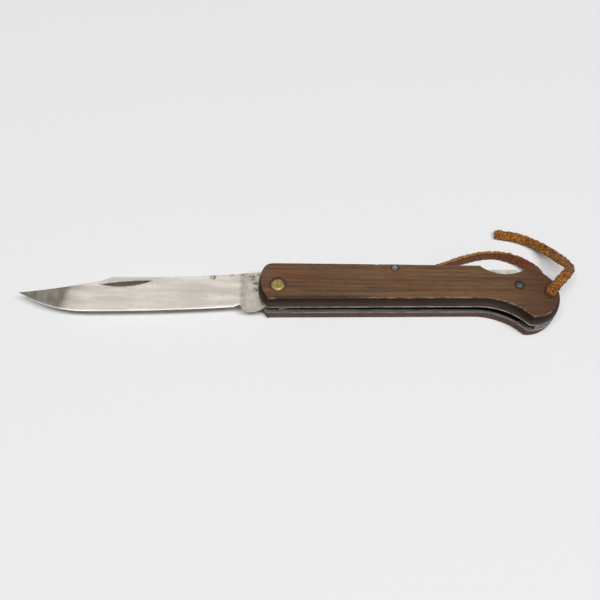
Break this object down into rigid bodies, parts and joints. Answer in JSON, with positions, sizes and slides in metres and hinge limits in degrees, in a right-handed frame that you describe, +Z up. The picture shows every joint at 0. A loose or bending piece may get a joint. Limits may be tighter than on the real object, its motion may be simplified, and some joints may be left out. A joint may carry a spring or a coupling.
{
  "type": "folding grafting knife",
  "caption": "Folding garden knife lying open: clip-point steel blade with nail nick, wood scales on steel liners, rocking lock bar in the spine, brass pivot, leather thong through the butt.",
  "frame": {"origin": "on the resting plane, under the middle of the knife without its thong", "axes": "+X from the blade's tip to the butt, +Y from the slot side to the spine, +Z up through the knife's thickness to the front scale"},
  "size_m": [0.2597, 0.0603, 0.0201],
  "materials": {
    "wood": "oiled open-grained hardwood, worn at the arrises",
    "liner_steel": "dull sheet steel",
    "blade_steel": "satin ground, a few rust spots near the tang",
    "spring_steel": "bare spring steel, darkened",
    "spacer_steel": "dull grey-green steel",
    "brass": "aged brass, spun flush",
    "pin_steel": "peened ends, dulled",
    "leather": "split leather lace, fuzzy suede on one side"
  },
  "bodies": {
    "handle": {"front_scale": "wood", "back_scale": "wood", "front_liner": "liner_steel", "back_liner": "liner_steel", "lock_spring": "spring_steel", "butt_spacer": "spacer_steel", "pivot_pin": "brass", "lock_bar_pin": "pin_steel", "rear_pin": "pin_steel", "thong_front_tail": "leather", "thong_back_tail": "leather"},
    "blade": {"blade": "blade_steel"},
    "lock_bar": {"lock_bar": "spring_steel"}
  },
  "joints": [
    {"name": "blade_fold", "type": "hinge", "parent": "handle", "child": "blade", "pos_m": [-0.00675, 0.00155, 0.0085], "axis": [0, 0, 1], "range_deg": [0, 176.8]},
    {"name": "lock_bar_rock", "type": "hinge", "parent": "handle", "child": "lock_bar", "pos_m": [0.04835, 0.01155, 0.0085], "axis": [0, 0, -1], "range_deg": [-1.5, 0], "stiffness_Nm_per_rad": 1.5, "springref_deg": -5.73, "deforming": ["lock_spring"]}
  ]
}
